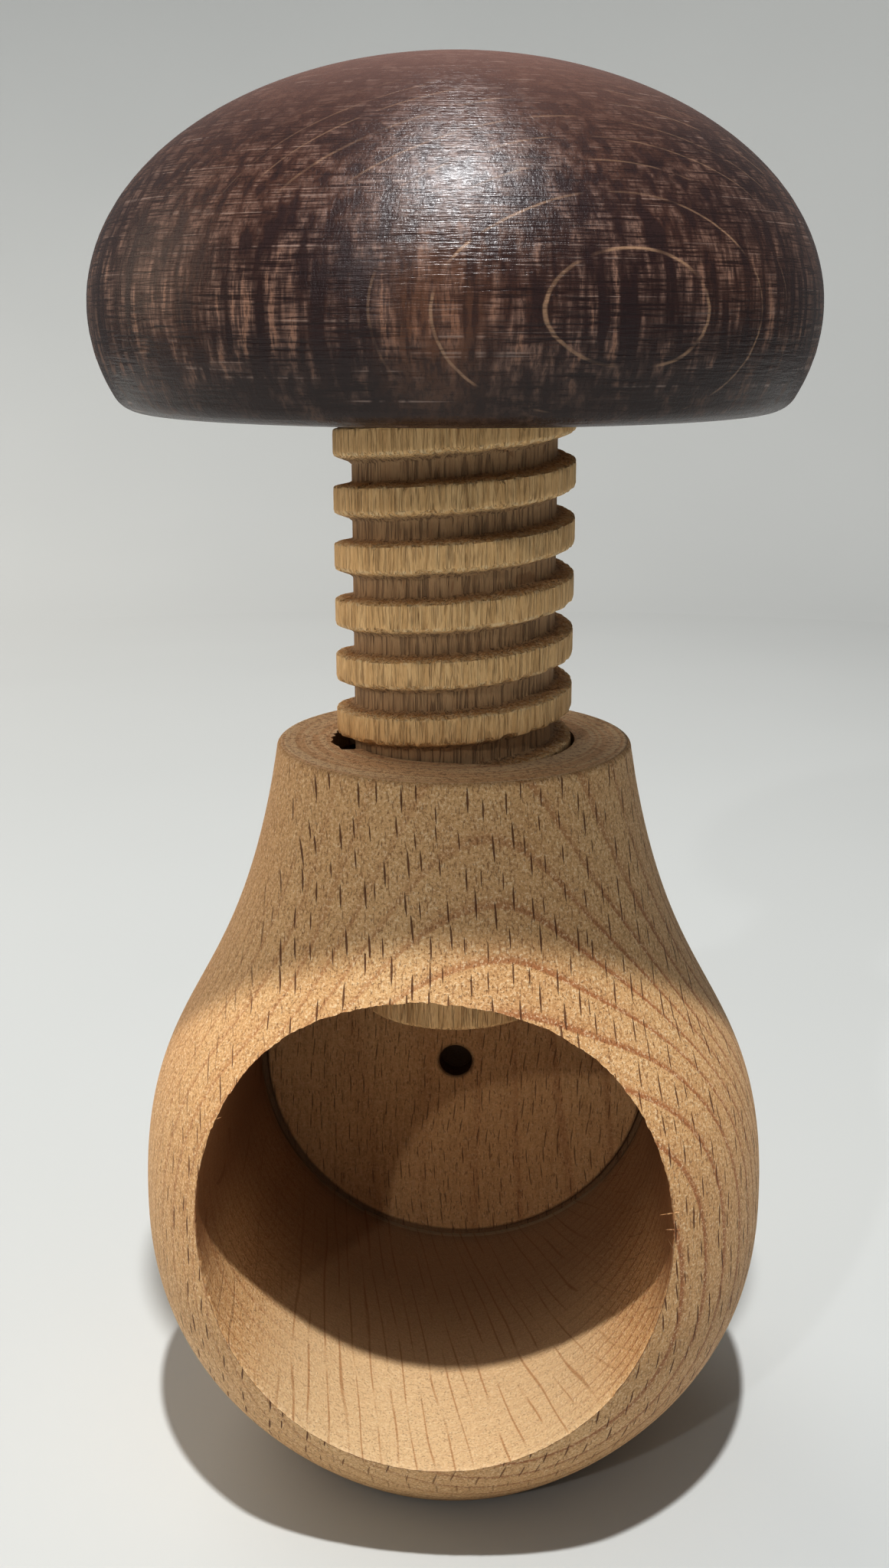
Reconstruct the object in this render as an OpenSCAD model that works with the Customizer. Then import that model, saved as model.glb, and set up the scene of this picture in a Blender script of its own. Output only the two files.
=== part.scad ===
// Screw nutcracker: a turned body with a cross-bored nut cavity, and a wooden
// screw spindle that a mushroom cap is glued to. The origin is the centre of
// the foot, +Z is up and the cavity opens towards -Y.

/* [Body] */
// Widest diameter of the body
body_d = 62; // [60:0.5:66]
// Height of the body from the foot to the neck's rim
body_h = 72.4; // [71:0.2:74]
// Height of the widest point of the belly
belly_z = 26.2; // [24:0.2:28]
// Diameter of the flat foot
foot_d = 34.5; // [30:0.5:38]
// Diameter of the neck at its rim
neck_d = 33.8; // [32:0.2:36]
// Radius of the rounded edge of the rim
rim_round = 0.7; // [0.4:0.1:1.2]

/* [Nut cavity] */
// Diameter of the cross-bored cavity
cavity_d = 43; // [40:0.5:44]
// Height of the cavity's axis
cavity_z = 32.5; // [31.5:0.1:33]
// Sideways offset of the cavity's axis from the body's axis
cavity_offset = -0.6; // [-1:0.1:1]
// Distance of the cavity's back wall behind the body's axis
cavity_back = 13.2; // [12.5:0.1:15]
// Diameter of the hole that the drill's centre spur left in the back wall
spur_d = 3.6; // [3:0.1:4.5]
// Depth of the straight part of the spur hole
spur_depth = 2.4; // [1.5:0.1:4]

/* [Screw] */
// Rise of the thread in one turn
pitch = 5.15; // [4.9:0.05:5.3]
// Diameter over the thread's crest
crest_d = 22.3; // [21.6:0.1:22.6]
// Diameter at the thread's root, and of the plain tip
root_d = 18.9; // [18.4:0.1:19.2]
// Width of the flat crest of the thread
crest_w = 2.4; // [2:0.1:2.5]
// Height of the thread's steep upper flank
upper_flank = 0.3; // [0.2:0.05:0.4]
// Height of the thread's sloping lower flank
lower_flank = 0.65; // [0.5:0.05:0.8]
// Clearance round the thread in the tapped neck
thread_gap = 0.35; // [0.3:0.05:0.4]
// Height of the spindle's tip at rest
tip_z = 46; // [45:0.5:48]
// Height of the middle of the thread's first crest, on the +X side
thread_z = 56.3; // [56:0.1:57]

/* [Cap] */
// Widest diameter of the mushroom cap
cap_d = 64.6; // [60:0.2:68]
// Height of the cap's flat underside, where the spindle's shoulder meets it
under_z = 103.05; // [102.8:0.05:103.6]
// Height of the cap's widest point
cap_mid_z = 111.7; // [110:0.1:113]
// Height of the dome above the cap's widest point
dome_h = 21.1; // [19:0.1:23]
// Width of the rounded band at the edge of the underside
under_round = 2.2; // [1:0.1:3]

/* [Glued joint] */
// Diameter of the spindle's tenon in the cap
tenon_d = 15; // [12:0.5:17]
// Length of the tenon
tenon_l = 17; // [14:0.5:18]
// Thickness of the glue film round the tenon
film_t = 0.2; // [0.15:0.05:0.3]
// Gap that separates the film from the wood on each side
film_gap = 0.12; // [0.1:0.01:0.15]

/* [Hidden] */
$fn = 96;

body_r = body_d / 2;
foot_r = foot_d / 2;
neck_r = neck_d / 2;
root_r = root_d / 2;
crest_r = crest_d / 2;
tenon_r = tenon_d / 2;
tenon_top = under_z + tenon_l;
socket_r = tenon_r + film_t + 2 * film_gap;
socket_top = tenon_top + film_t + 2 * film_gap;
// Facets in one turn of a thread, and the turns over which a thread fades in and out
steps = 40;
fade_turns = 0.25;
// How far a ridge starts below the surface that it stands on
sink = 0.4;
// Points on each curved stretch of an outline
curve_n = 16;
// Overrun of a cut past the surface that it opens
over = 1;

beech = [0.80, 0.61, 0.39];
pale_beech = [0.85, 0.70, 0.47];
walnut_stain = [0.22, 0.13, 0.11];
dry_glue = [0.86, 0.80, 0.62];

// Points on a cubic curve from a to d, pulled towards b and c
function cubic(a, b, c, d) = [
    for (i = [0:curve_n])
        let (t = i / curve_n, s = 1 - t)
            s * s * s * a + 3 * s * s * t * b + 3 * s * t * t * c + t * t * t * d
];

// Points on a quadratic curve from a to c, pulled towards b
function quadratic(a, b, c) = [
    for (i = [0:curve_n])
        let (t = i / curve_n, s = 1 - t)
            s * s * a + 2 * s * t * b + t * t * c
];

// Half outline of the body: the lower belly, the long flare up to the neck and the rounded rim
body_outline = concat(
    [[0, 0]],
    cubic([foot_r, 0], [foot_r + 12.4, 10.2], [body_r, belly_z - 7.1], [body_r, belly_z]),
    cubic([body_r, belly_z + 0.01], [body_r, belly_z + 21.4],
          [neck_r + 4.5, body_h - 27.7], [neck_r, body_h - rim_round]),
    quadratic([neck_r, body_h - rim_round + 0.01], [neck_r, body_h], [neck_r - rim_round, body_h]),
    [[0, body_h]]
);

// Half outline of the cap: an ellipse cut flat below, with its lower edge rounded
edge_a = -20;
edge = [cap_d / 2 * cos(edge_a), cap_mid_z + dome_h * sin(edge_a)];
edge_corner_r = edge.x + (edge.y - under_z) * cap_d / 2 * sin(edge_a) / (dome_h * cos(edge_a));
dome_n = 40;
cap_outline = concat(
    [[0, under_z]],
    quadratic([edge_corner_r - under_round, under_z], [edge_corner_r, under_z], edge),
    [for (i = [1:dome_n])
        let (a = edge_a + (90 - edge_a) * i / dome_n)
            [i == dome_n ? 0 : cap_d / 2 * cos(a), cap_mid_z + dome_h * sin(a)]]
);

// A right-handed helical ridge on a shaft or, grown by the gap, the groove that receives it.
// It starts at height first_z on the +X side and fades in and out.
module thread_ridge(gap, first_z, turns) {
    base_r = root_r + gap;
    top_r = crest_r + gap;
    low_slope = lower_flank / (crest_r - root_r);
    high_slope = upper_flank / (crest_r - root_r);
    inner_r = base_r - sink;
    crest_half = crest_w / 2 + gap;
    rings = round(turns * steps);
    points = [
        for (i = [0:rings])
            let (turn = i / steps,
                 fade = min(1, turn / fade_turns, (rings - i) / steps / fade_turns),
                 outer_r = inner_r + sink / 4 + (top_r - inner_r - sink / 4) * fade,
                 rise = outer_r - inner_r,
                 z = first_z + pitch * turn)
                for (p = [[inner_r, z - crest_half - low_slope * rise],
                          [outer_r, z - crest_half],
                          [outer_r, z + crest_half],
                          [inner_r, z + crest_half + high_slope * rise]])
                    [p.x * cos(360 * turn), p.x * sin(360 * turn), p.y]
    ];
    sides = [
        for (i = [0:rings - 1], k = [0:3])
            let (a = 4 * i + k, b = 4 * i + (k + 1) % 4)
                each [[a, b, a + 4], [b, b + 4, a + 4]]
    ];
    last = 4 * rings;
    polyhedron(points, concat(sides, [[3, 2, 1, 0], [last, last + 1, last + 2, last + 3]]), 10);
}

// Everything below a height, used to cut the thread off at the spindle's shoulder
module below(z) {
    translate([-body_r, -body_r, 0])
        cube([body_d, body_d, z]);
}

module cavity_cut() {
    translate([cavity_offset, cavity_back, cavity_z])
        rotate([90, 0, 0])
            cylinder(r = cavity_d / 2, h = cavity_back + body_r + over);
    translate([cavity_offset, cavity_back - over, cavity_z])
        rotate([-90, 0, 0])
            rotate_extrude()
                polygon([[0, 0], [spur_d / 2, 0], [spur_d / 2, spur_depth + over],
                         [0, spur_depth + spur_d / 2 + over]]);
}

// The neck's tapped hole starts inside the cavity and runs out through the rim
module neck_thread_cut() {
    translate([0, 0, cavity_z + cavity_d / 4])
        cylinder(r = root_r + thread_gap, h = body_h - cavity_z);
    thread_ridge(thread_gap, thread_z - 2 * pitch, 6);
}

module body() {
    color(beech)
        difference() {
            rotate_extrude()
                polygon(body_outline);
            cavity_cut();
            neck_thread_cut();
        }
}

module spindle() {
    chamfer = 0.5;
    color(pale_beech) {
        rotate_extrude()
            polygon([[0, tip_z], [root_r - chamfer, tip_z], [root_r, tip_z + chamfer], [root_r, under_z],
                     [tenon_r, under_z], [tenon_r, tenon_top - chamfer], [tenon_r - chamfer, tenon_top],
                     [0, tenon_top]]);
        intersection() {
            thread_ridge(0, thread_z, (under_z + pitch - thread_z) / pitch);
            below(under_z);
        }
    }
}

module cap() {
    color(walnut_stain)
        difference() {
            rotate_extrude()
                polygon(cap_outline);
            translate([0, 0, under_z - over])
                cylinder(r = socket_r, h = socket_top - under_z + over);
        }
}

// The dried glue fills the socket like a thin upturned cup over the tenon
module glue_film() {
    inner = tenon_r + film_gap;
    outer = socket_r - film_gap;
    skirt_z = under_z + 1;
    color(dry_glue)
        rotate_extrude()
            polygon([[inner, skirt_z], [outer, skirt_z], [outer, socket_top - film_gap],
                     [0, socket_top - film_gap], [0, tenon_top + film_gap], [inner, tenon_top + film_gap]]);
}

body();
spindle();
cap();
glue_film();
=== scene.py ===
"""Looks of a screw nutcracker in turned beech: the hollowed body, the threaded spindle and the stained cap.

Lengths are in millimetres up to the point where a mesh is made. MM turns them into metres. The camera
and the lights are placed in metres.
"""

import math

import bmesh
import bpy
import numpy as np
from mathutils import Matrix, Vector


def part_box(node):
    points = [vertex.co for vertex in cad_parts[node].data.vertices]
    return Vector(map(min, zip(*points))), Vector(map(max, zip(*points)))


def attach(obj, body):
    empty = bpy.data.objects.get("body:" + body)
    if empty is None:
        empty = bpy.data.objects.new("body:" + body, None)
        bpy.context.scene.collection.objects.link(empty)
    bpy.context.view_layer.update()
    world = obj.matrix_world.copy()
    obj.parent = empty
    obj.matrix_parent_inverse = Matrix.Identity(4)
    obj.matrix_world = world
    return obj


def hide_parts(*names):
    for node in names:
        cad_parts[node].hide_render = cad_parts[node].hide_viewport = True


MM = 0.001
TURN = 2 * math.pi
# The picture is shown with this much more contrast than the light itself has, as a phone shows it
CONTRAST = 1.25

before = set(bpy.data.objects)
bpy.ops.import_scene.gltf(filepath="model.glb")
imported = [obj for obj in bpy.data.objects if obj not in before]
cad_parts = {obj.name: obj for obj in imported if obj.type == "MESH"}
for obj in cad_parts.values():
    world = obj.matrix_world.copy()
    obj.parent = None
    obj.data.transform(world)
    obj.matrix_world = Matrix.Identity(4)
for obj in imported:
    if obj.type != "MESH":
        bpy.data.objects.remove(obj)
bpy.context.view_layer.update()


def node_box(node):
    """Lowest and highest corner of a CAD node, in millimetres."""
    low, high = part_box(node)
    return low / MM, high / MM


# ---------------------------------------------------------------- sizes
BODY_LOW, BODY_HIGH = node_box("body")
CAP_LOW, CAP_HIGH = node_box("cap")
SPINDLE_LOW, SPINDLE_HIGH = node_box("spindle")

BODY_R = (BODY_HIGH.x - BODY_LOW.x) / 2
BODY_H = BODY_HIGH.z
BELLY_Z = 26.2
FOOT_R = 17.25
NECK_R = 16.9
RIM_ROUND = 0.7

CAVITY_R = 21.5
CAVITY_X = -0.6
CAVITY_Z = 32.5
CAVITY_BACK = 13.2
CAVITY_TOP = CAVITY_Z + CAVITY_R
GROOVE_DEPTH = 0.45
SPUR_R = 1.8
SPUR_DEPTH = 2.4
SPUR_END = CAVITY_BACK + SPUR_DEPTH + SPUR_R
# How far the belly and the cap stay inside the CAD outline, so that their unevenness never passes it
INSET = 0.02

# Splinters on the cavity's rim: degrees round it, how far they point inwards, length and width
SPLINTERS = (
    (6, 0.95, 1.3, 0.16),
    (2, 0.85, 0.9, 0.14),
    (-3, 0.3, 1.6, 0.12),
    (156, 0.5, 0.9, 0.13),
    (165, 0.2, 1.1, 0.12),
    (176, 0.1, 1.3, 0.14),
    (188, 0.15, 1.0, 0.12),
)

PITCH = 5.15
CREST_R = (SPINDLE_HIGH.x - SPINDLE_LOW.x) / 2
ROOT_R = 9.45
CREST_HALF = 1.2
UPPER_FLANK = 0.3
LOWER_FLANK = 0.65
THREAD_GAP = 0.35
THREAD_Z = 56.3
TIP_Z = SPINDLE_LOW.z
TENON_R = 7.5
TENON_TOP = SPINDLE_HIGH.z

CAP_R = (CAP_HIGH.x - CAP_LOW.x) / 2
UNDER_Z = CAP_LOW.z
CAP_TOP = CAP_HIGH.z
CAP_MID_Z = 111.7
SOCKET_R = 7.94
SOCKET_TOP = 120.49


def facing(degrees):
    """A direction in plan as (x, y), with 0 at the front and 90 on the +X side."""
    turn = math.radians(degrees)
    return (math.sin(turn), -math.cos(turn))


# The way from the pith out to the bark in each piece of wood
BODY_BARK = facing(14.5)
CAP_BARK = facing(25.0)
SPINDLE_BARK = facing(-50.0)

# The camera as fitted to the photo: metres, radians, and millimetres for the lens and the sensor
CAMERA_AT = (0.00983, -0.15545, 0.11098)
CAMERA_TILT = 0.271
CAMERA_YAW = 0.069
CAMERA_LENS = 38.45
CAMERA_SENSOR = 36
# The point that the lights look at
LIT_POINT = (0, 0, 0.06)


# ---------------------------------------------------------------- meshes
def cubic(a, b, c, d, count):
    """Points on a cubic curve from a to d, pulled towards b and c."""
    t = np.linspace(0, 1, count)[:, None]
    s = 1 - t
    a, b, c, d = map(np.array, (a, b, c, d))
    return s**3 * a + 3 * s * s * t * b + 3 * s * t * t * c + t**3 * d


def quadratic(a, b, c, count):
    """Points on a quadratic curve from a to c, pulled towards b."""
    t = np.linspace(0, 1, count)[:, None]
    s = 1 - t
    a, b, c = map(np.array, (a, b, c))
    return s * s * a + 2 * s * t * b + t * t * c


def new_object(name, points, faces, smooth_below=35):
    """A mesh object from points in millimetres, smooth except across edges sharper than the angle."""
    mesh = bpy.data.meshes.new(name)
    mesh.from_pydata((np.asarray(points) * MM).tolist(), [], faces)
    mesh.validate()
    shape = bpy.data.objects.new(name, mesh)
    bpy.context.scene.collection.objects.link(shape)
    smooth(mesh, smooth_below)
    return shape


def smooth(mesh, below):
    """Shades a mesh smooth, except across edges sharper than the angle."""
    mesh.shade_smooth()
    mesh.set_sharp_from_angle(angle=math.radians(below))


def grid_faces(rows, columns):
    """Quads of a grid of points that closes on itself along its columns."""
    faces = []
    for row in range(rows - 1):
        a = row * columns
        b = a + columns
        for i in range(columns):
            j = (i + 1) % columns
            faces.append((a + i, a + j, b + j, b + i))
    return faces


def turned(rings, columns, centre_low, centre_high):
    """Points and faces of a closed form from rings of points and one point at each end."""
    points = np.concatenate([[centre_low], rings.reshape(-1, 3), [centre_high]])
    rows = len(rings)
    faces = [tuple(v + 1 for v in face) for face in grid_faces(rows, columns)]
    last = 1 + (rows - 1) * columns
    for i in range(columns):
        j = (i + 1) % columns
        faces.append((0, 1 + j, 1 + i))
        faces.append((len(points) - 1, last + i, last + j))
    return points, faces


def lathe(name, outline, columns, wobble=None):
    """A turned form about Z from (r, z) points that start and end on the axis."""
    outline = np.asarray(outline)
    angle = np.arange(columns) * TURN / columns
    r = np.repeat(outline[1:-1, :1], columns, axis=1)
    z = np.repeat(outline[1:-1, 1:], columns, axis=1)
    if wobble is not None:
        r = r + wobble(angle[None, :], r, z)
    rings = np.stack([r * np.cos(angle), r * np.sin(angle), z], -1)
    ends = [(0, 0, outline[0, 1]), (0, 0, outline[-1, 1])]
    points, faces = turned(rings, columns, *ends)
    return new_object(name, points, faces)


def smooth_noise(generator, count, reach):
    """A closed run of random values about 0, blurred over reach steps, with a spread of 1."""
    raw = generator.standard_normal(count)
    waves = np.fft.rfft(raw)
    waves *= np.exp(-0.5 * (np.arange(len(waves)) * reach / count * math.pi) ** 2)
    waves[0] = 0
    values = np.fft.irfft(waves, count)
    return values / values.std()


def subtract(shape, tool):
    """Cuts a tool out of a shape and removes the tool."""
    cut = shape.modifiers.new("cut", "BOOLEAN")
    cut.operation = "DIFFERENCE"
    cut.solver = "EXACT"
    cut.object = tool
    graph = bpy.context.evaluated_depsgraph_get()
    mesh = bpy.data.meshes.new_from_object(shape.evaluated_get(graph))
    shape.modifiers.clear()
    old = shape.data
    shape.data = mesh
    mesh.name = shape.name
    bpy.data.meshes.remove(old)
    bpy.data.objects.remove(tool)


# ---------------------------------------------------------------- body
def body_outline():
    """Half outline of the body, from the middle of the foot to the middle of the rim."""
    widest = (BODY_R, BELLY_Z)
    belly = cubic((FOOT_R, 0), (FOOT_R + 12.4, 10.2), (BODY_R, BELLY_Z - 7.1), widest, 60)
    rim_start = (NECK_R, BODY_H - RIM_ROUND)
    flare = cubic(widest, (BODY_R, BELLY_Z + 21.4), (NECK_R + 4.5, BODY_H - 27.7), rim_start, 84)
    rim = quadratic(rim_start, (NECK_R, BODY_H), (NECK_R - RIM_ROUND, BODY_H), 7)
    foot_r = np.array([0, 3, 6, 9, 12, 15, FOOT_R - 0.5])
    foot = np.stack([foot_r, np.zeros_like(foot_r)], -1)
    top_r = np.array([15, 13.5, 12, 0])
    top = np.stack([top_r, np.full_like(top_r, BODY_H)], -1)
    belly[0] = (FOOT_R + 0.15, 0.25)
    return np.concatenate([foot, belly, flare[1:], rim[1:], top])


def body_radius(z):
    """Radius of the body's outside at a height."""
    outline = body_outline()
    side = outline[outline[:, 0] > NECK_R - RIM_ROUND - 0.01]
    order = np.argsort(side[:, 1])
    return np.interp(z, side[order, 1], side[order, 0])


def cavity_tool(generator):
    """The drill that bores the cavity, with the worn edge it leaves where it enters the body."""
    columns = 448
    angle = np.arange(columns) * TURN / columns
    x_rim = CAVITY_X + CAVITY_R * np.cos(angle)
    z_rim = CAVITY_Z + CAVITY_R * np.sin(angle)
    y_rim = -np.sqrt(body_radius(z_rim) ** 2 - x_rim**2)
    wear = 0.75 + 0.12 * smooth_noise(generator, columns, 5)
    wear = wear + 0.30 * smooth_noise(generator, columns, 0.8)
    chips = np.clip(smooth_noise(generator, columns, 1.5) - 2.0, 0, 1.5)
    wear = np.clip(wear, 0.2, 1.6) + 1.4 * chips
    edge_depth = 0.7
    front = -BODY_R - 3
    rings = []

    def ring(radius, y):
        radius = np.broadcast_to(radius, columns)
        y = np.broadcast_to(y, columns)
        x = CAVITY_X + radius * np.cos(angle)
        z = CAVITY_Z + radius * np.sin(angle)
        rings.append(np.stack([x, y, z], -1))

    ring(SPUR_R * 0.5, SPUR_END - SPUR_R * 0.5)
    ring(SPUR_R, CAVITY_BACK + SPUR_DEPTH)
    ring(SPUR_R, CAVITY_BACK + 0.15)
    ring(SPUR_R + 0.15, CAVITY_BACK)
    sweep = np.linspace(SPUR_R + 1, CAVITY_R - 1.2, 16)
    for i, radius in enumerate(sweep):
        ring(radius, CAVITY_BACK - 0.02 * (i % 2))
    ring(CAVITY_R - 0.75, CAVITY_BACK)
    ring(CAVITY_R - 0.55, CAVITY_BACK + GROOVE_DEPTH)
    ring(CAVITY_R, CAVITY_BACK + GROOVE_DEPTH)
    for share in (0.2, 0.4, 0.6, 0.8):
        ring(CAVITY_R, CAVITY_BACK + share * (y_rim + edge_depth - CAVITY_BACK))
    ring(CAVITY_R, y_rim + edge_depth)
    ring(CAVITY_R + 0.04 * wear, y_rim + 0.25 * wear)
    ring(CAVITY_R + 0.11 * wear, y_rim + 0.10 * wear)
    ring(CAVITY_R + 0.22 * wear, y_rim - 0.02)
    ring(CAVITY_R + 0.8 * wear, y_rim - 0.6)
    ring(CAVITY_R + 1, front)
    ends = [(CAVITY_X, SPUR_END, CAVITY_Z), (CAVITY_X, front, CAVITY_Z)]
    points, faces = turned(np.array(rings), columns, *ends)
    return new_object("cavity_tool", points, faces)


def thread_height(offset, half, low, high):
    """Height of the thread at an offset from its crest's middle: 0 at the root, 1 on the crest."""
    rounding = np.linspace(-0.13, 0.13, 7)
    total = 0
    for shift in rounding:
        v = offset + shift
        flank = np.minimum((v + half + low) / low, (half + high - v) / high)
        total = total + np.clip(flank, 0, 1)
    return total / len(rounding)


def helix(name, root, crest, half, start, first_z, low_z, high_z, steps, detail=None):
    """An open tube about Z whose rows follow the thread, from below low_z to above high_z.

    detail(share, turn, offset) gives the change of radius and the change of offset.
    """
    low, high = LOWER_FLANK, UPPER_FLANK
    v = np.concatenate([
        np.linspace(-PITCH / 2, -half - low - 0.15, 3),
        np.linspace(-half - low + 0.1, -half - 0.18, 4),
        np.linspace(-half - 0.04, half - 0.16, 8),
        np.linspace(half - 0.02, half + high + 0.14, 5),
        np.linspace(half + high + 0.35, PITCH / 2, 4)[:-1],
    ])
    rows_per_turn = len(v)
    first = math.floor((low_z - first_z) / PITCH) - 2
    last = math.ceil((high_z - first_z) / PITCH) + 1
    turns = last - first
    n = np.arange(turns * rows_per_turn)
    offset = v[n % rows_per_turn][:, None]
    share = (np.arange(steps) / steps)[None, :]
    turn = first + n[:, None] // rows_per_turn + share
    fade = np.clip((turn - start) / 0.25, 0, 1)
    fade = fade * fade * (3 - 2 * fade)
    bump, shift = detail(share, turn, offset) if detail else (0, 0)
    height = thread_height(offset + shift, half, low, high) * fade
    radius = root + (crest - root) * height + bump
    angle = share * TURN
    z = first_z + PITCH * turn + offset
    rings = np.stack([radius * np.cos(angle), radius * np.sin(angle), z], -1)
    rows = len(n)
    faces = []
    for row in range(rows - 1):
        a = row * steps
        for i in range(steps - 1):
            faces.append((a + i, a + i + 1, a + steps + i + 1, a + steps + i))
        wrap = (row + rows_per_turn) * steps
        if row + rows_per_turn + 1 < rows:
            faces.append((a + steps - 1, wrap, wrap + steps, a + 2 * steps - 1))
    return new_object(name, rings.reshape(-1, 3), faces, 60)


def trim(shape, z, keep_above):
    """Cuts an open tube off square at a height."""
    mesh = bmesh.new()
    mesh.from_mesh(shape.data)
    everything = mesh.verts[:] + mesh.edges[:] + mesh.faces[:]
    bmesh.ops.bisect_plane(
        mesh, geom=everything, dist=1e-7, plane_co=(0, 0, z * MM), plane_no=(0, 0, 1),
        clear_outer=not keep_above, clear_inner=keep_above)
    mesh.to_mesh(shape.data)
    mesh.free()


def close_end(shape, z, rings):
    """Closes a tube's open end at height z, through rings of (radius, z), down to one point."""
    mesh = bmesh.new()
    mesh.from_mesh(shape.data)

    def at_end(vert):
        return abs(vert.co.z / MM - z) < 0.02

    edges = [e for e in mesh.edges if e.is_boundary and all(map(at_end, e.verts))]
    for radius, height in rings:
        made = bmesh.ops.extrude_edge_only(mesh, edges=edges)["geom"]
        edges = [g for g in made if isinstance(g, bmesh.types.BMEdge)]
        for vert in {v for e in edges for v in e.verts}:
            flat = vert.co.xy.normalized() * radius * MM
            vert.co = Vector((flat.x, flat.y, height * MM))
    made = bmesh.ops.extrude_edge_only(mesh, edges=edges)["geom"]
    verts = [g for g in made if isinstance(g, bmesh.types.BMVert)]
    bmesh.ops.pointmerge(mesh, verts=verts, merge_co=(0, 0, rings[-1][1] * MM))
    bmesh.ops.recalc_face_normals(mesh, faces=mesh.faces[:])
    mesh.to_mesh(shape.data)
    mesh.free()


def neck_tool():
    """The tap that cuts the thread in the neck."""
    low_z, high_z = CAVITY_Z + 6, BODY_H + 2
    root, crest, half = (size + THREAD_GAP for size in (ROOT_R, CREST_R, CREST_HALF))
    tool = helix("neck_tool", root, crest, half, -2.0, THREAD_Z, low_z, high_z, 144)
    trim(tool, low_z, True)
    trim(tool, high_z, False)
    close_end(tool, low_z, [(5, low_z)])
    close_end(tool, high_z, [(5, high_z)])
    return tool


def chip_tool(generator):
    """The chip that broke out of the neck's first thread, a ragged sector of the rim of the bore."""
    start, end, count = math.radians(150), math.radians(212), 40
    angle = np.linspace(start, end, count)
    ragged = 0.12 * smooth_noise(generator, count, 1.5)
    ramp = np.minimum(1, np.minimum(angle - start, (end - angle) * 6) * 4)
    outer = ROOT_R + 0.3 + (1.75 + ragged) * ramp
    low = BODY_H - 2.6 + 0.1 * smooth_noise(generator, count, 2)
    points = []
    inner, high = ROOT_R - 1, BODY_H + 0.5
    for radius, height in ((inner, low), (outer, low + 0.5), (outer + 0.08, high), (inner, high)):
        radius = np.broadcast_to(radius, count)
        height = np.broadcast_to(height, count)
        points.append(np.stack([radius * np.cos(angle), radius * np.sin(angle), height], -1))
    faces = []
    for side in range(4):
        a, b = side * count, (side + 1) % 4 * count
        faces += [(a + i, a + i + 1, b + i + 1, b + i) for i in range(count - 1)]
    faces.append(tuple(side * count for side in (3, 2, 1, 0)))
    faces.append(tuple((side + 1) * count - 1 for side in range(4)))
    tool = new_object("chip_tool", np.concatenate(points), faces)
    mesh = bmesh.new()
    mesh.from_mesh(tool.data)
    bmesh.ops.recalc_face_normals(mesh, faces=mesh.faces[:])
    mesh.to_mesh(tool.data)
    mesh.free()
    return tool


def add_splinters(body, generator):
    """Short lifted fibres on the rim of the cavity, each a thin tapering sliver."""
    rim_r = CAVITY_R + 0.15
    buried = 0.5
    mesh = bmesh.new()
    mesh.from_mesh(body.data)
    for degrees, inward, length, width in SPLINTERS:
        cosine, sine = math.cos(math.radians(degrees)), math.sin(math.radians(degrees))
        x = CAVITY_X + rim_r * cosine
        z = CAVITY_Z + rim_r * sine
        y = -math.sqrt(float(body_radius(z)) ** 2 - x * x) + 0.12
        along = Vector((-cosine * inward, -0.25, 1 - inward - sine * inward)).normalized()
        across = along.cross(Vector((0, 1, 0))).normalized()
        out = along.cross(across).normalized()
        root = Vector((x, y, z)) - along * buried
        bend = out * generator.uniform(-0.1, 0.1)
        rows = []
        for share, thick in ((0.0, 1.0), (0.45, 0.9), (0.8, 0.55), (1.0, 0.12)):
            middle = root + along * (length + buried) * share + bend * share * share
            corners = (across, out * 0.6, -across, -out * 0.6)
            rows.append([mesh.verts.new((middle + c * width * thick / 2) * MM) for c in corners])
        for a, b in zip(rows, rows[1:]):
            for i in range(4):
                j = (i + 1) % 4
                mesh.faces.new((a[i], a[j], b[j], b[i]))
        mesh.faces.new(rows[0][::-1])
        mesh.faces.new(rows[-1])
    mesh.normal_update()
    mesh.to_mesh(body.data)
    mesh.free()


def make_body():
    """The turned body, bored, tapped and chipped."""
    generator = np.random.default_rng(11)
    columns = 336
    slow = smooth_noise(generator, columns, 60)

    def wobble(angle, r, z):
        on_belly = r > FOOT_R + 0.05
        return -INSET * (1 + 0.4 * slow) * on_belly

    body = lathe("turned_body", body_outline(), columns, wobble)
    subtract(body, cavity_tool(generator))
    subtract(body, neck_tool())
    subtract(body, chip_tool(generator))
    add_splinters(body, generator)
    smooth(body.data, 32)
    return body


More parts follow.
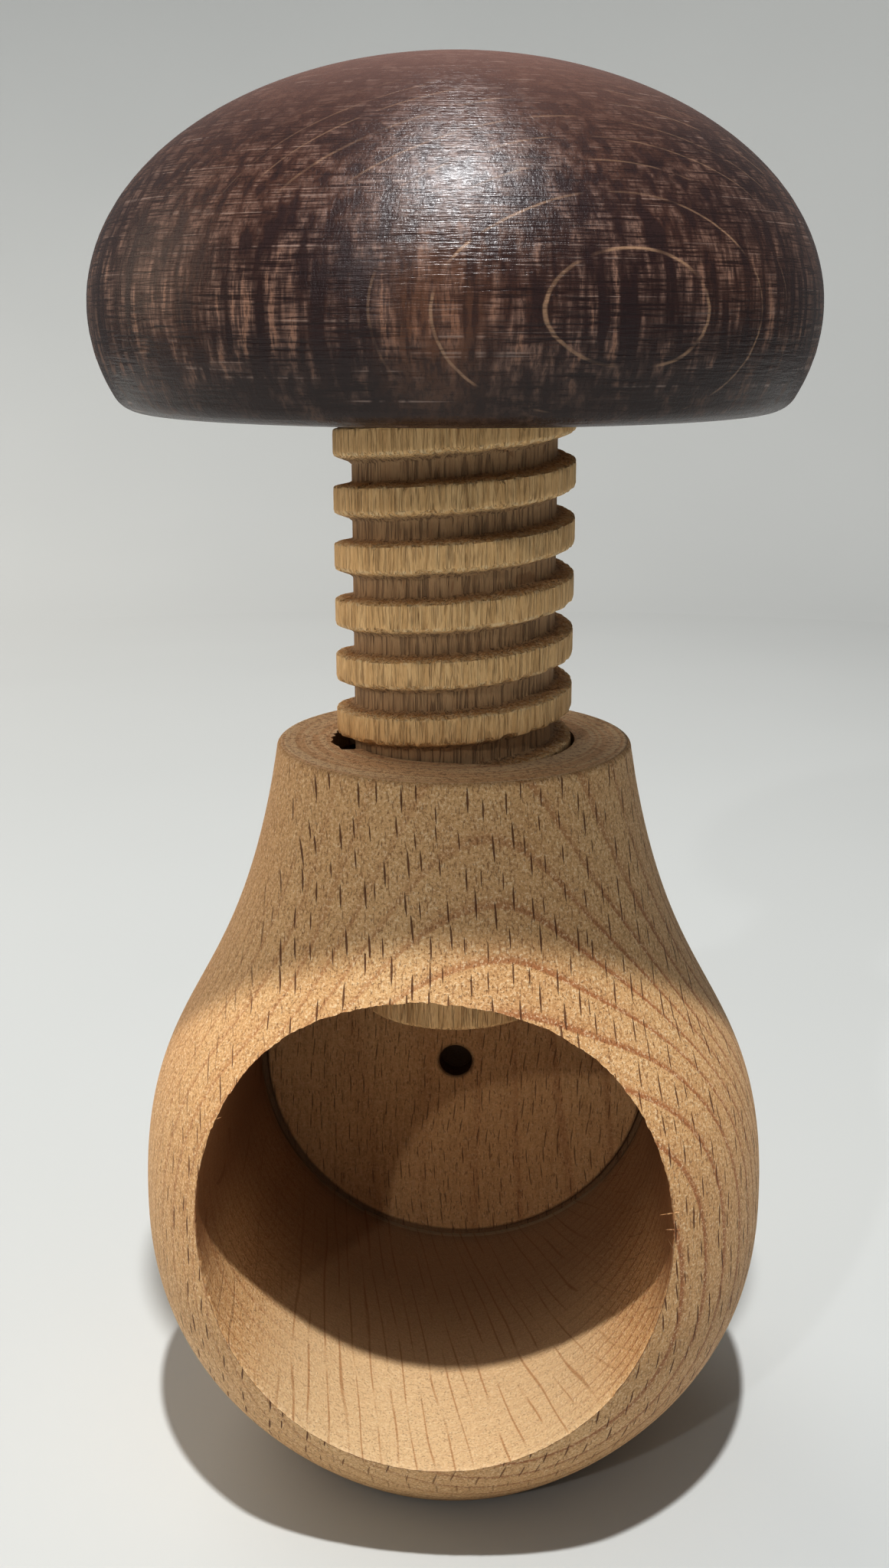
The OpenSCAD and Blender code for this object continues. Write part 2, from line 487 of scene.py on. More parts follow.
# ---------------------------------------------------------------- spindle
def make_spindle():
    """The spindle with its cut thread, torn at the edges, its plain tip and its tenon."""
    generator = np.random.default_rng(5)
    steps = 300
    fibre = 0.5 * smooth_noise(generator, steps, 1) + smooth_noise(generator, steps, 3)
    turns = 16
    long = steps * turns
    torn_low = smooth_noise(generator, long, 1.5)
    torn_high = smooth_noise(generator, long, 1.5)
    dents = np.clip(smooth_noise(generator, long, 4) - 1.4, 0, 2)

    def along(values, turn):
        return values[np.round(turn * steps).astype(int) % long]

    def detail(share, turn, offset):
        columns = np.round(share * steps).astype(int) % steps
        grain = fibre[columns] * 0.018
        low_edge = 0.10 * np.clip(along(torn_low, turn), -0.5, 2.2) + 0.22 * along(dents, turn)
        high_edge = 0.07 * np.clip(along(torn_high, turn), -0.5, 2.0)
        shift = np.where(offset < 0, -low_edge, high_edge)
        near_crest = np.exp(-((np.abs(offset) - CREST_HALF) / 0.5) ** 2)
        return grain - 0.03, shift * near_crest

    spindle = helix("screw_spindle", ROOT_R, CREST_R, CREST_HALF, 0.0, THREAD_Z, TIP_Z, UNDER_Z,
                    steps, detail)
    tip_start = TIP_Z + 0.45
    trim(spindle, tip_start, True)
    trim(spindle, UNDER_Z, False)
    tip = [(ROOT_R - 0.22, TIP_Z + 0.12), (ROOT_R - 0.55, TIP_Z)]
    tip += [(7, TIP_Z), (4, TIP_Z), (1.5, TIP_Z)]
    close_end(spindle, tip_start, tip)
    chamfer = 0.5
    tenon = [(TENON_R, UNDER_Z), (TENON_R, TENON_TOP - chamfer)]
    tenon += [(TENON_R - chamfer, TENON_TOP), (2, TENON_TOP)]
    close_end(spindle, UNDER_Z, tenon)
    smooth(spindle.data, 50)
    return spindle


# ---------------------------------------------------------------- cap
def make_cap():
    """The mushroom cap with its rounded lower edge and the blind socket for the tenon."""
    generator = np.random.default_rng(23)
    columns = 360
    dome_h = CAP_TOP - CAP_MID_Z
    edge_angle = math.radians(-20)
    edge = np.array([CAP_R * math.cos(edge_angle), CAP_MID_Z + dome_h * math.sin(edge_angle)])
    tangent = CAP_R * math.sin(edge_angle) / (dome_h * math.cos(edge_angle))
    corner_r = edge[0] + (edge[1] - UNDER_Z) * tangent
    lower = quadratic((corner_r - 2.2, UNDER_Z), (corner_r, UNDER_Z), edge, 22)
    sweep = edge_angle + (math.pi / 2 - edge_angle) * np.linspace(0, 1, 150)[1:]
    dome = np.stack([CAP_R * np.cos(sweep), CAP_MID_Z + dome_h * np.sin(sweep)], -1)
    dome[-1, 0] = 0
    chamfer, mouth = 0.3, 0.2
    socket = [(0, SOCKET_TOP), (SOCKET_R - chamfer, SOCKET_TOP), (SOCKET_R, SOCKET_TOP - chamfer)]
    socket += [(SOCKET_R, UNDER_Z + mouth), (SOCKET_R + mouth, UNDER_Z)]
    under_r = np.linspace(SOCKET_R + 1, corner_r - 2.5, 26)
    under = np.stack([under_r, np.full_like(under_r, UNDER_Z)], -1)
    outline = np.concatenate([socket, under, lower, dome])
    tool_marks = smooth_noise(generator, len(outline), 1)[1:-1, None]
    slow = smooth_noise(generator, columns, 50)

    def wobble(angle, r, z):
        outside = (z > UNDER_Z + 0.3) & (r > SOCKET_R + 0.1)
        uneven = 0.006 * np.clip(tool_marks, -2, 2) + 0.004 * slow[None, :]
        return np.where(outside, uneven - INSET, 0)

    return lathe("mushroom_cap", outline, columns, wobble)


# ---------------------------------------------------------------- node building
class Nodes:
    """One material's nodes, built with short calls. A value is a number or another node's output."""

    def __init__(self, name):
        self.material = bpy.data.materials.new(name)
        self.material.use_nodes = True
        self.tree = self.material.node_tree
        self.shader = self.tree.nodes["Principled BSDF"]

    def put(self, socket, value):
        """Links an output to a socket, or sets the socket to a number, colour or vector."""
        if isinstance(value, bpy.types.NodeSocket):
            self.tree.links.new(value, socket)
        else:
            socket.default_value = value

    def add(self, kind, inputs=(), **settings):
        """A new node with its settings and its inputs."""
        node = self.tree.nodes.new(kind)
        for key, value in settings.items():
            setattr(node, key, value)
        for key, value in dict(inputs).items():
            self.put(node.inputs[key], value)
        return node

    def math(self, operation, *values):
        return self.add("ShaderNodeMath", dict(enumerate(values)), operation=operation).outputs[0]

    def plus(self, a, b):
        return self.math("ADD", a, b)

    def times(self, a, b):
        return self.math("MULTIPLY", a, b)

    def step(self, value, low, high, to_low=0.0, to_high=1.0):
        """A smooth step from to_low at low to to_high at high."""
        inputs = {"Value": value, "From Min": low, "From Max": high, "To Min": to_low, "To Max": to_high}
        return self.add("ShaderNodeMapRange", inputs, interpolation_type="SMOOTHSTEP").outputs[0]

    def vector(self, x, y, z):
        return self.add("ShaderNodeCombineXYZ", {0: x, 1: y, 2: z}).outputs[0]

    def noise(self, vector, scale, detail=2.0, roughness=0.5):
        inputs = {"Vector": vector, "Scale": scale, "Detail": detail, "Roughness": roughness}
        return self.add("ShaderNodeTexNoise", inputs, noise_dimensions="3D").outputs["Fac"]

    def mix(self, factor, a, b):
        """Colour a, turned into colour b as the factor goes from 0 to 1."""
        node = self.add("ShaderNodeMix", data_type="RGBA")
        for index, value in zip((0, 6, 7), (factor, a, b)):
            self.put(node.inputs[index], value)
        return node.outputs[2]

    def split(self, vector):
        """The x, y and z of a vector."""
        return self.add("ShaderNodeSeparateXYZ", {0: vector}).outputs[:]

    def place(self):
        """Object coordinates in millimetres: the vector and its x, y and z."""
        coords = self.add("ShaderNodeTexCoord").outputs["Object"]
        scaled = self.add("ShaderNodeVectorMath", {0: coords, 3: 1 / MM}, operation="SCALE").outputs[0]
        return scaled, *self.split(scaled)

    def finish(self, base, rough, height, relief_mm, specular=0.5):
        """Sets the shader's colour, roughness, relief and specular level, and gives the material."""
        relief = self.add("ShaderNodeBump", {"Height": height, "Distance": relief_mm * MM}).outputs[0]
        self.put(self.shader.inputs["Base Color"], base)
        self.put(self.shader.inputs["Roughness"], rough)
        self.put(self.shader.inputs["Normal"], relief)
        self.shader.inputs["Specular IOR Level"].default_value = specular
        return self.material


def colour(red, green, blue):
    """A linear colour from the 0 to 255 values that a screen shows once the contrast is added."""
    def linear(value):
        share = value / 255
        light = share / 12.92 if share <= 0.04045 else ((share + 0.055) / 1.055) ** 2.4
        return light ** (1 / CONTRAST)
    return (linear(red), linear(green), linear(blue), 1.0)


class Wood(Nodes):
    """A piece of a trunk.

    It knows its place out from the pith, round the trunk (side) and up it, and how a face lies in it.
    """

    def __init__(self, name, bark, pith_distance):
        super().__init__(name)
        self.point, x, y, self.up = self.place()
        self.x = x
        self.y = y
        along = self.plus(self.plus(self.times(x, bark[0]), self.times(y, bark[1])), pith_distance)
        across = self.plus(self.times(x, -bark[1]), self.times(y, bark[0]))
        squares = self.plus(self.times(along, along), self.times(across, across))
        self.out = self.plus(self.math("SQRT", squares), -pith_distance)
        self.side = self.times(self.math("ARCTAN2", across, along), pith_distance)
        self.radius = self.math("SQRT", self.plus(self.times(x, x), self.times(y, y)))
        self.angle = self.math("ARCTAN2", y, x)
        normal = self.add("ShaderNodeTexCoord").outputs["Normal"]
        nx, ny, self.face_up = self.split(normal)
        self.end_grain = self.math("ABSOLUTE", self.face_up)
        outward = self.plus(self.times(nx, bark[0]), self.times(ny, bark[1]))
        self.flat_sawn = self.math("ABSOLUTE", outward)

    def grain(self, across, along, detail=2.0, roughness=0.5, seed=0.0):
        """Noise drawn out along the trunk: across and along are its marks per millimetre."""
        where = self.vector(self.plus(self.times(self.x, across), seed), self.times(self.y, across),
                            self.times(self.up, along))
        return self.noise(where, 1.0, detail, roughness)

    def rings(self, spacing, waver, seed):
        """The place within a growth ring, from 0 in early wood to 1 at its end."""
        low = self.vector(self.times(self.side, 0.05), self.times(self.up, 0.018), seed)
        slow = self.times(self.plus(self.noise(low, 1.0, 1.0), -0.5), waver)
        uneven = self.noise(self.vector(self.times(self.out, 0.16), seed, 0.0), 1.0, 0.0)
        ring = self.plus(self.times(self.plus(self.out, slow), 1 / spacing), self.times(uneven, 1.8))
        return self.math("FRACT", ring)

    def rays(self, wide, tall, half_width, half_height, seed, share=1.0):
        """1 inside the thin upright ribbons of ray cells, which run out from the pith."""
        slow = self.vector(self.times(self.out, 0.07), self.times(self.up, 0.07), seed)
        drift = self.noise(slow, 1.0, 1.0)
        side = self.plus(self.side, self.times(drift, 2.5))
        cell = self.vector(self.plus(self.times(side, 1 / wide), seed), self.times(self.up, 1 / tall), 0.0)
        found = self.add("ShaderNodeTexVoronoi", {"Vector": cell, "Scale": 1.0, "Randomness": 0.72},
                         voronoi_dimensions="2D", feature="F1")
        ends = {0: cell, 1: found.outputs["Position"]}
        apart = self.add("ShaderNodeVectorMath", ends, operation="SUBTRACT").outputs[0]
        across, upward = self.split(apart)[:2]
        tone = self.add("ShaderNodeSeparateColor", {0: found.outputs["Color"]}).outputs
        size = self.plus(self.times(tone[0], 0.5), 0.65)
        v = self.math("DIVIDE", self.times(upward, tall / half_height), size)
        lens = self.math("SUBTRACT", 1.0, self.times(v, v))
        gap = self.math("DIVIDE", self.math("ABSOLUTE", self.times(across, wide / half_width)), size)
        inside = self.math("SUBTRACT", lens, gap)
        there = self.step(tone[1], 1 - share, 1.02 - share) if share < 1 else 1.0
        return self.times(self.step(inside, -0.1, 0.4), there)


# ---------------------------------------------------------------- materials
def beech_rings(wood):
    """The body's ground colour with its growth rings.

    They are fainter on end grain, at the left, up the neck and on the cavity's back wall.
    """
    place = wood.rings(1.75, 3.6, 3.1)
    on_side = wood.step(wood.end_grain, 0.75, 0.95, 1.0, 0.45)
    to_right = wood.step(wood.x, -6.0, 10.0, 0.45, 1.0)
    below_neck = wood.step(wood.up, 66.0, 55.0, 0.5, 1.0)
    strength = wood.times(on_side, wood.times(to_right, below_neck))
    strength = wood.times(strength, wood.step(wood.y, CAVITY_BACK - 1.2, CAVITY_BACK - 0.4, 1.0, 0.35))
    late = wood.times(wood.step(place, 0.30, 0.96), strength)
    line = wood.times(wood.step(place, 0.76, 0.92), wood.step(place, 1.0, 0.96))
    line = wood.times(line, strength)
    broad = wood.grain(0.06, 0.02)
    base = wood.mix(wood.step(broad, 0.3, 0.7), colour(223, 178, 122), colour(213, 163, 107))
    base = wood.mix(wood.times(late, 0.55), base, colour(198, 144, 92))
    return wood.mix(wood.times(line, 0.92), base, colour(162, 96, 52))


def cavity_strands_and_painted_shade(wood, base):
    """Paints shade into the bores, darker with depth, and draws the end grain's strands on the cavity's
    floor.
    """
    from_axis = wood.plus(wood.math("POWER", wood.plus(wood.x, -CAVITY_X), 2.0),
                          wood.math("POWER", wood.plus(wood.up, -CAVITY_Z), 2.0))
    in_bore = wood.math("SQRT", from_axis)
    inside = wood.step(in_bore, CAVITY_R + 0.25, CAVITY_R + 0.05)
    before_back = wood.step(wood.y, CAVITY_BACK - 0.1, CAVITY_BACK - 0.3)
    # painted shade: the cavity's wall, except where it faces up, is darkened
    wall = wood.times(wood.times(inside, before_back), wood.step(wood.face_up, 0.45, 0.05))
    base = wood.mix(wood.times(wall, 0.75), base, colour(116, 66, 32))
    # painted shade: the scored groove round the edge of the back wall is darkened
    painted_groove_shade = wood.times(wood.step(in_bore, CAVITY_R - 1.1, CAVITY_R - 0.7),
                        wood.step(wood.y, CAVITY_BACK - 0.3, CAVITY_BACK))
    before_outside = wood.step(wood.y, CAVITY_BACK + 1.8, CAVITY_BACK + 1.3)
    painted_groove_shade = wood.times(wood.times(painted_groove_shade, inside), before_outside)
    base = wood.mix(wood.times(painted_groove_shade, 0.7), base, colour(70, 40, 20))
    waver = wood.noise(wood.vector(wood.times(wood.side, 0.5), wood.times(wood.out, 0.06),
                                   wood.times(wood.up, 0.15)), 1.0, 1.0)
    strand = wood.math("FRACT", wood.plus(wood.times(wood.side, 0.75), wood.times(waver, 1.1)))
    strand = wood.step(wood.math("ABSOLUTE", wood.plus(strand, -0.5)), 0.085, 0.02)
    patches = wood.noise(wood.vector(wood.times(wood.side, 0.9), wood.times(wood.out, 0.12), 3.0), 1.0)
    strand = wood.times(strand, wood.step(patches, 0.38, 0.56))
    open_end = wood.step(wood.face_up, 0.48, 0.85)
    below = wood.times(open_end, wood.step(wood.up, BODY_H - 4, BODY_H - 6))
    base = wood.mix(wood.times(below, 0.62), base, colour(206, 179, 138))
    base = wood.mix(wood.times(wood.times(strand, below), 0.7), base, colour(156, 106, 62))
    # painted shade: the cavity darkens from near its mouth towards its back wall
    painted_depth_shade = wood.times(wood.times(inside, wood.step(wood.y, -14.0, 4.0)), before_back)
    base = wood.mix(wood.times(painted_depth_shade, 0.56), base, colour(112, 68, 36))
    # painted shade: the thread cut inside the neck is darkened
    painted_neck_bore_shade = wood.times(wood.step(wood.radius, CREST_R + 0.6, CREST_R + 0.3),
                         wood.step(wood.up, CAVITY_TOP, CAVITY_TOP + 1))
    painted_neck_bore_shade = wood.times(painted_neck_bore_shade, wood.step(wood.face_up, 0.9, 0.6))
    base = wood.mix(wood.times(painted_neck_bore_shade, 0.8), base, colour(52, 30, 16))
    # painted shade: the spur hole is darkened almost to black
    painted_spur_hole_shade = wood.times(wood.step(in_bore, SPUR_R + 0.5, SPUR_R + 0.1),
                         wood.step(wood.y, CAVITY_BACK - 0.3, CAVITY_BACK + 0.4))
    painted_spur_hole_shade = wood.times(painted_spur_hole_shade, wood.step(wood.y, SPUR_END + 4.6, SPUR_END + 2.6))
    return wood.mix(wood.times(painted_spur_hole_shade, 0.9), base, colour(58, 30, 14))


def raw_beech():
    """Bare turned beech: light brown, with rings, dark ray flecks, fine pores and browner end grain,
    painted shade in its bores and painted light on the neck's top face.
    """
    wood = Wood("beech_bare", BODY_BARK, 120.0)
    base = beech_rings(wood)
    fibres = wood.grain(2.6, 0.30, 3.0, 0.6)
    base = wood.mix(wood.step(fibres, 0.42, 0.72, 0.0, 0.40), base, colour(174, 122, 74))
    sand = wood.noise(wood.point, 3.9, 3.0, 0.72)
    coarse = wood.step(wood.y, CAVITY_BACK - 1.2, CAVITY_BACK - 0.4, 1.0, 0.4)
    light_sand = wood.step(sand, 0.50, 0.68, 0.0, 0.78)
    dark_sand = wood.step(sand, 0.48, 0.32, 0.0, 0.72)
    base = wood.mix(wood.times(light_sand, coarse), base, colour(248, 218, 174))
    base = wood.mix(wood.times(dark_sand, coarse), base, colour(148, 98, 56))
    pore = wood.step(wood.grain(6.0, 1.4, 1.0), 0.62, 0.72)
    base = wood.mix(wood.times(pore, 0.45), base, colour(134, 82, 44))

    # the neck's top face, cut across the grain and marked by the turning tool, with painted light on it
    cut_end = wood.times(wood.step(wood.face_up, 0.90, 0.98), wood.step(wood.up, BODY_H - 1, BODY_H - 0.3))
    path = wood.vector(wood.times(wood.radius, 1.7), wood.times(wood.angle, 0.6), 0.0)
    turning = wood.noise(path, 1.0, 2.0)
    speck = wood.noise(wood.point, 2.2, 2.0, 0.7)
    # painted light: the whole top face is lightened to stand in for light that the cap keeps off it
    base = wood.mix(wood.times(cut_end, 0.85), base, colour(236, 190, 140))
    arcs = wood.times(cut_end, wood.step(turning, 0.42, 0.58, 0.0, 0.75))
    base = wood.mix(arcs, base, colour(252, 222, 178))
    specks = wood.times(cut_end, wood.step(speck, 0.50, 0.36, 0.0, 0.65))
    base = wood.mix(specks, base, colour(168, 116, 76))

    # the ray flecks, which show where the face lies flat to the rings
    large = wood.rays(1.6, 2.9, 0.075, 1.15, 5.0)
    small = wood.rays(0.85, 1.7, 0.06, 0.45, 9.0, 0.7)
    seen = wood.times(wood.step(wood.flat_sawn, 0.12, 0.50, 0.08, 1.0),
                      wood.plus(0.3, wood.times(coarse, 0.7)))
    seen = wood.times(seen, wood.step(wood.end_grain, 0.45, 0.75, 1.0, 0.22))
    seen = wood.times(seen, wood.plus(1.0, wood.times(cut_end, -0.7)))
    fleck = wood.mix(wood.step(wood.end_grain, 0.4, 0.8), colour(92, 50, 24), colour(150, 98, 58))
    base = wood.mix(wood.times(wood.times(large, 0.92), seen), base, fleck)
    base = wood.mix(wood.times(wood.times(small, 0.55), seen), base, colour(126, 76, 40))
    base = cavity_strands_and_painted_shade(wood, base)

    rough = wood.plus(0.50, wood.plus(wood.times(large, 0.1), wood.times(sand, 0.15)))
    height = wood.plus(wood.times(fibres, 0.5), sand)
    height = wood.plus(height, wood.times(pore, -0.5))
    height = wood.plus(height, wood.times(wood.times(large, seen), -1.1))
    height = wood.plus(height, wood.times(wood.times(wood.plus(turning, speck), cut_end), 1.2))
    return wood.finish(base, rough, height, 0.11, 0.35)


def pale_beech():
    """The spindle's fresh-cut pale beech: bright rubbed crests, torn edges and fuzzy roots, with painted
    shade that turns the roots grey-brown and the upper flanks orange-brown.
    """
    wood = Wood("beech_pale", SPINDLE_BARK, 120.0)
    turns = wood.plus(wood.times(wood.plus(wood.up, -THREAD_Z), 1 / PITCH),
                      wood.times(wood.angle, -1 / TURN))
    offset = wood.times(wood.plus(wood.math("FRACT", wood.plus(turns, 0.5)), -0.5), PITCH)
    on_thread = wood.step(wood.radius, ROOT_R + 0.15, ROOT_R + 0.6)
    streaks = wood.grain(2.0, 0.10, 3.0, 0.6)
    fine = wood.grain(6.0, 0.7, 2.0, 0.65)
    base = wood.mix(wood.step(streaks, 0.3, 0.7), colour(252, 208, 146), colour(230, 182, 120))
    base = wood.mix(wood.step(fine, 0.45, 0.72, 0.0, 0.5), base, colour(180, 130, 80))
    cracks = wood.step(wood.grain(3.4, 0.22, 1.0, seed=12.0), 0.60, 0.68)
    base = wood.mix(wood.times(cracks, 0.35), base, colour(146, 100, 58))
    # painted shade: the thread's roots between the crests are turned grey-brown
    root = wood.step(wood.radius, CREST_R - 0.45, ROOT_R + 0.30)
    root = wood.times(root, wood.step(wood.up, TIP_Z + 3.5, TIP_Z + 5.5))
    base = wood.mix(wood.times(root, 0.72), base, colour(150, 116, 86))
    # painted shade: the short upper flank over each crest is turned orange-brown
    painted_upper_flank_shade = wood.times(wood.step(offset, CREST_HALF - 0.05, CREST_HALF + 0.15), on_thread)
    base = wood.mix(wood.times(painted_upper_flank_shade, 0.55), base, colour(176, 116, 62))
    from_edge = wood.math("ABSOLUTE", wood.plus(wood.math("ABSOLUTE", offset), -CREST_HALF))
    torn = wood.times(wood.step(from_edge, 0.35, 0.05), on_thread)
    torn = wood.times(torn, wood.step(wood.grain(3.0, 0.5, 1.0, seed=4.0), 0.45, 0.6))
    base = wood.mix(wood.times(torn, 0.65), base, colour(244, 214, 166))
    dark = wood.rays(1.1, 2.3, 0.08, 0.7, 2.0, 0.6)
    base = wood.mix(wood.times(dark, 0.40), base, colour(120, 74, 38))
    hollow = wood.step(wood.grain(3.6, 0.22, 2.0, seed=9.0), 0.52, 0.64)
    base = wood.mix(wood.times(wood.times(hollow, root), 0.48), base, colour(92, 66, 46))
    rough = wood.plus(0.55, wood.times(fine, 0.15))
    height = wood.plus(wood.times(streaks, 0.6), wood.times(fine, 0.9))
    height = wood.plus(height, wood.plus(wood.times(hollow, -0.9), wood.times(cracks, -0.5)))
    return wood.finish(base, rough, height, 0.14, 0.3)


def stained_beech():
    """The cap's dark stain under a satin varnish: rubbed through in bars, and scored by the lathe, with
    painted shade on its lower edge and a painted reflection on its top.
    """
    wood = Wood("beech_stained", CAP_BARK, 150.0)
    place = wood.rings(1.9, 2.6, 8.3)
    turn_x = wood.math("DIVIDE", wood.x, wood.plus(wood.radius, 0.01))
    turn_y = wood.math("DIVIDE", wood.y, wood.plus(wood.radius, 0.01))
    path = wood.plus(wood.up, wood.times(wood.radius, -1.0))

    def scores(around, along, detail, roughness, seed):
        """Noise drawn out round the cap, as the lathe leaves it."""
        where = wood.vector(wood.times(turn_x, around), wood.plus(wood.times(turn_y, around), seed),
                            wood.times(path, along))
        return wood.noise(where, 1.0, detail, roughness)

    scored = scores(6.5, 4.6, 3.0, 0.62, 0.0)
    scratches = scores(2.5, 5.5, 0.0, 0.5, 3.0)
    clouds = wood.noise(wood.point, 0.09, 2.0, 0.5)
    bars = wood.grain(0.85, 0.10, 2.0, 0.55)
    fibres = wood.grain(2.4, 0.30, 2.0, 0.6, 2.0)
    fine = wood.grain(4.5, 1.2, 2.0, 0.7)
    base = wood.mix(wood.step(clouds, 0.35, 0.65), colour(45, 27, 24), colour(63, 38, 30))
    upright = wood.step(wood.end_grain, 0.60, 0.92, 1.0, 0.35)
    base = wood.mix(wood.times(wood.step(bars, 0.50, 0.36, 0.0, 0.7), upright), base, colour(36, 23, 24))
    worn = wood.times(wood.step(bars, 0.44, 0.64), wood.step(scored, 0.40, 0.58))
    worn = wood.times(worn, wood.step(fibres, 0.36, 0.56, 0.35, 1.0))
    worn = wood.times(worn, upright)
    lower = wood.step(wood.up, CAP_MID_Z + 8, CAP_MID_Z - 2)
    base = wood.mix(wood.times(worn, wood.plus(0.42, wood.times(lower, 0.40))), base, colour(148, 114, 98))
    bright = wood.times(wood.times(wood.step(bars, 0.54, 0.66), wood.step(fibres, 0.42, 0.60)), lower)
    base = wood.mix(wood.times(bright, 0.70), base, colour(160, 116, 92))
    base = wood.mix(wood.step(fine, 0.50, 0.36, 0.0, 0.5), base, colour(30, 18, 18))
    base = wood.mix(wood.step(scored, 0.46, 0.34, 0.0, 0.65), base, colour(26, 15, 16))
    rubbed = wood.times(wood.step(wood.math("ABSOLUTE", wood.plus(wood.x, -0.5)), 5.5, 1.0),
                        wood.step(wood.y, -18.0, -26.0))
    rubbed = wood.times(wood.times(rubbed, lower), wood.step(fibres, 0.38, 0.60, 0.3, 1.0))
    base = wood.mix(wood.times(rubbed, 0.55), base, colour(128, 82, 56))
    # painted shade: the lowest part of the cap, facing away from the light, is darkened
    edge = wood.step(wood.up, UNDER_Z + 7.5, UNDER_Z + 1.0)
    base = wood.mix(wood.times(edge, 0.8), base, colour(28, 17, 13))
    # painted reflection: the top of the cap is lightened to a pale pinkish brown sheen
    top = wood.times(wood.step(wood.radius, 29.0, 9.0),
                     wood.step(wood.up, CAP_MID_Z, CAP_MID_Z + 12))
    base = wood.mix(wood.times(top, 0.50), base, colour(146, 104, 92))
    flat = wood.times(wood.flat_sawn, wood.flat_sawn)
    slope = wood.math("SQRT", wood.math("MAXIMUM", wood.plus(1.0, wood.times(flat, -1.0)), 0.0))
    thick = wood.plus(0.012, wood.times(slope, 0.05))
    gap = wood.math("DIVIDE", wood.math("ABSOLUTE", wood.plus(place, -0.5)), thick)
    high = wood.step(wood.up, CAP_MID_Z + 7, CAP_MID_Z + 10, 0.0, 0.45)
    front = wood.times(wood.math("MAXIMUM", wood.step(wood.flat_sawn, 0.80, 0.90), high),
                       wood.step(wood.out, CAP_R * 0.45, CAP_R * 0.65))
    broken = wood.step(wood.grain(0.22, 0.30, 2.0, seed=6.0), 0.40, 0.56)
    line = wood.times(wood.step(gap, 1.0, 0.3), wood.times(front, broken))
    line = wood.times(line, wood.step(scored, 0.32, 0.48, 0.35, 1.0))
    base = wood.mix(wood.times(line, 0.70), base, colour(172, 134, 104))
    thin = wood.times(wood.step(scratches, 0.72, 0.78), wood.step(bars, 0.40, 0.60))
    base = wood.mix(wood.times(thin, 0.45), base, colour(168, 144, 132))
    wood.shader.inputs["Coat Weight"].default_value = 0.05
    wood.shader.inputs["Coat Roughness"].default_value = 0.25
    rough = wood.plus(0.27, wood.times(worn, 0.14))
    height = wood.plus(scored, wood.plus(wood.times(fine, 0.35), wood.times(bars, 0.4)))
    return wood.finish(base, rough, height, 0.085, 0.42)


def dried_glue():
    """Cloudy amber glue with tiny bubbles."""
    glue = Nodes("glue_dried")
    point = glue.place()[0]
    cloud = glue.noise(point, 0.8, 3.0)
    bubbles = glue.step(glue.noise(point, 5.0, 0.0), 0.68, 0.74)
    base = glue.mix(cloud, colour(222, 205, 158), colour(190, 164, 112))
    base = glue.mix(glue.times(bubbles, 0.5), base, colour(240, 232, 205))
    return glue.finish(base, glue.plus(0.3, glue.times(cloud, 0.2)), bubbles, 0.05)


# ---------------------------------------------------------------- stage
def make_stage():
    """A plain pale floor, and a backdrop that curves up from it and that only the camera sees."""
    pale = Nodes("stage_pale")
    cloud = pale.noise(pale.place()[0], 0.01, 2.0)
    tone = pale.mix(cloud, colour(186, 190, 190), colour(181, 185, 185))
    pale.put(pale.shader.inputs["Base Color"], tone)
    pale.shader.inputs["Roughness"].default_value = 0.7
    pale.shader.inputs["Specular IOR Level"].default_value = 0.15
    columns = 96
    angle = np.arange(columns) * TURN / columns
    ring = np.stack([np.cos(angle), np.sin(angle)], -1)
    flat_r, curve_r, wall = 500, 300, 1500

    def dish(name, outline):
        rings = [np.concatenate([ring * r, np.full((columns, 1), z)], 1) for r, z in outline]
        shape = new_object(name, np.concatenate(rings), grid_faces(len(outline), columns))
        shape.data.materials.append(pale.material)
        return shape

    dish("floor", [(0.5, 0), (100, 0), (300, 0), (flat_r, 0)])
    bend = np.linspace(0, math.pi / 2, 24)
    rise = [(flat_r + curve_r * math.sin(a), curve_r * (1 - math.cos(a))) for a in bend]
    backdrop = dish("backdrop", rise + [(flat_r + curve_r, wall)])
    for name in ("visible_diffuse", "visible_glossy", "visible_shadow", "visible_transmission"):
        setattr(backdrop, name, False)


def add_area(name, direction, distance, size, power, tint=(1, 1, 1)):
    """A round light of a size in metres and a power in watts, that looks at the object."""
    data = bpy.data.lights.new(name, "AREA")
    data.shape = "DISK"
    data.size = size
    data.energy = power
    data.color = tint
    lamp = bpy.data.objects.new(name, data)
    direction = Vector(direction).normalized()
    lamp.location = Vector(LIT_POINT) + direction * distance
    lamp.rotation_mode = "QUATERNION"
    lamp.rotation_quaternion = direction.to_track_quat("Z", "Y")
    bpy.context.scene.collection.objects.link(lamp)
    return lamp


def towards(azimuth, elevation):
    """A direction from the object, with azimuth 0 at the front and 90 on the +X side."""
    x, y = facing(azimuth)
    rise = math.radians(elevation)
    return (x * math.cos(rise), y * math.cos(rise), math.sin(rise))


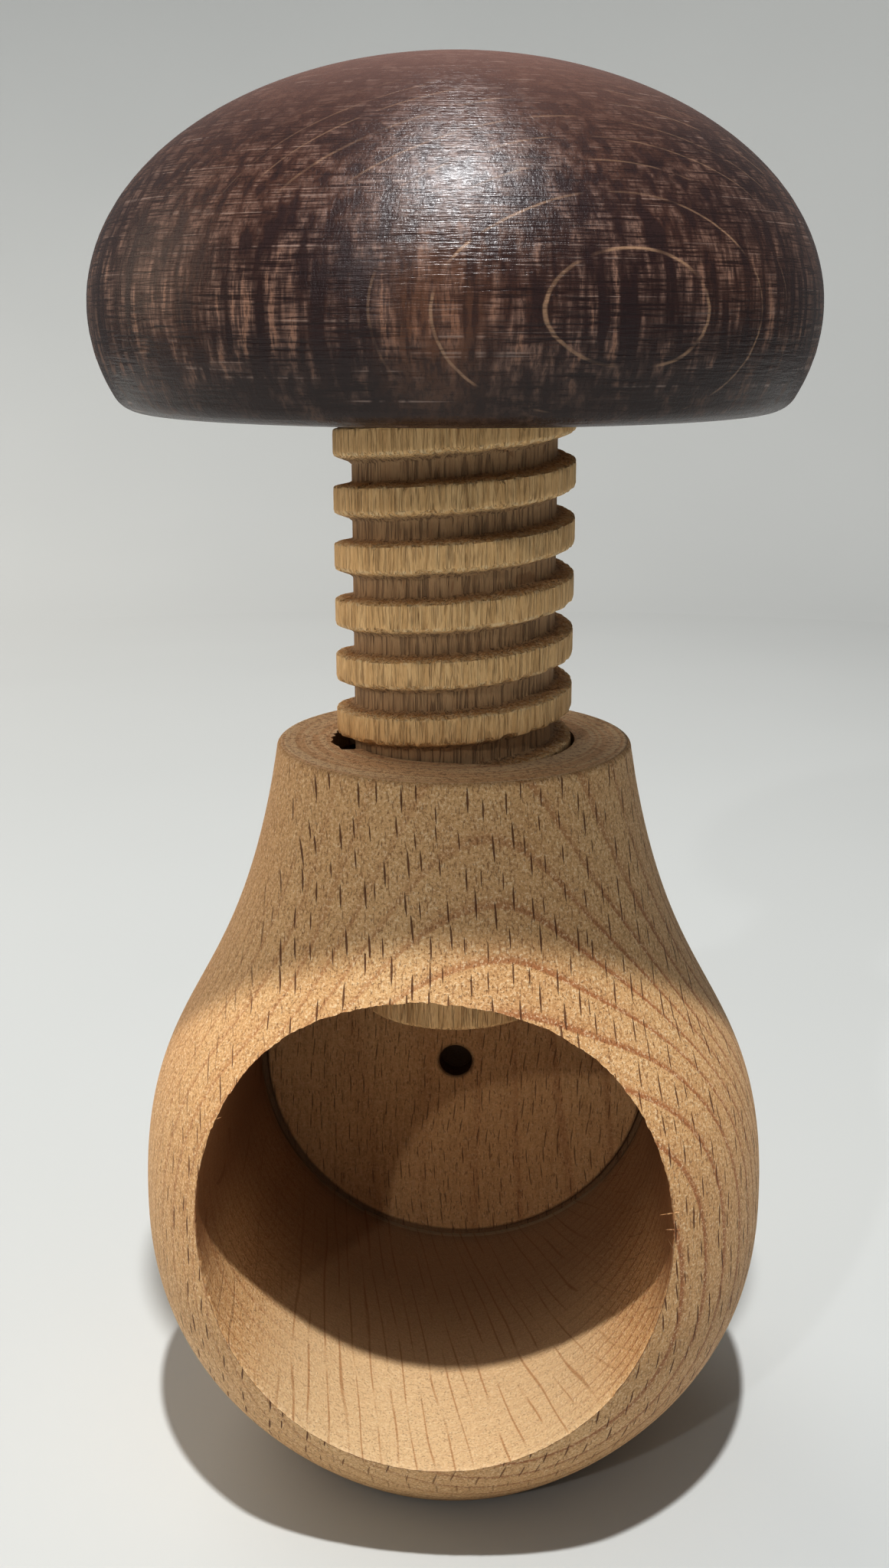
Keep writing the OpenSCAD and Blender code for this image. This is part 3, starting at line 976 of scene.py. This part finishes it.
def make_lights():
    """A hard key light from above, a weak low one, and soft light from the left and from behind.

    The shine shows only in glossy reflections, round the key light's own. Each light has a name, a
    direction, a distance, a size, a power and a tint.
    """
    add_area("key", towards(5, 75.5), 0.95, 0.035, 10.0, (1.0, 0.995, 0.99))
    add_area("side", towards(-22.6, 29.8), 0.95, 0.03, 1.15)
    add_area("left", towards(-95, 20), 0.9, 0.7, 1.65, (1.0, 0.84, 0.66))
    behind = add_area("behind", towards(-142, 30), 0.9, 0.7, 2.9, (1.0, 0.93, 0.86))
    behind.visible_glossy = False
    shine = add_area("shine", towards(2, 74), 0.95, 0.30, 5.5, (0.86, 0.93, 1.0))
    shine.visible_diffuse = False
    world = bpy.data.worlds.new("studio")
    world.use_nodes = True
    background = world.node_tree.nodes["Background"]
    background.inputs["Color"].default_value = (1.0, 0.99, 0.98, 1)
    background.inputs["Strength"].default_value = 0.2
    bpy.context.scene.world = world


def make_camera():
    """A phone's view from in front, level with the cap's underside and tilted down."""
    data = bpy.data.cameras.new("camera")
    data.sensor_width = CAMERA_SENSOR
    data.lens = CAMERA_LENS
    data.clip_start = 0.005
    camera = bpy.data.objects.new("camera", data)
    camera.location = CAMERA_AT
    camera.rotation_euler = (math.pi / 2 - CAMERA_TILT, 0, CAMERA_YAW)
    bpy.context.scene.collection.objects.link(camera)
    bpy.context.scene.camera = camera


# ---------------------------------------------------------------- assembly
def finish_piece(piece, material, body, node):
    """Gives a piece its material and its body, and hides the CAD node that it stands for."""
    piece.data.materials.clear()
    piece.data.materials.append(material)
    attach(piece, body)
    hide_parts(node)


make_camera()
make_stage()
make_lights()
bpy.context.scene.view_settings.view_transform = "Standard"
bpy.context.scene.view_settings.gamma = 1 / CONTRAST

finish_piece(make_body(), raw_beech(), "base", "body")
finish_piece(make_spindle(), pale_beech(), "screw", "spindle")
finish_piece(make_cap(), stained_beech(), "screw", "cap")

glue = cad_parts["glue_film"]
glue.data.materials.clear()
glue.data.materials.append(dried_glue())
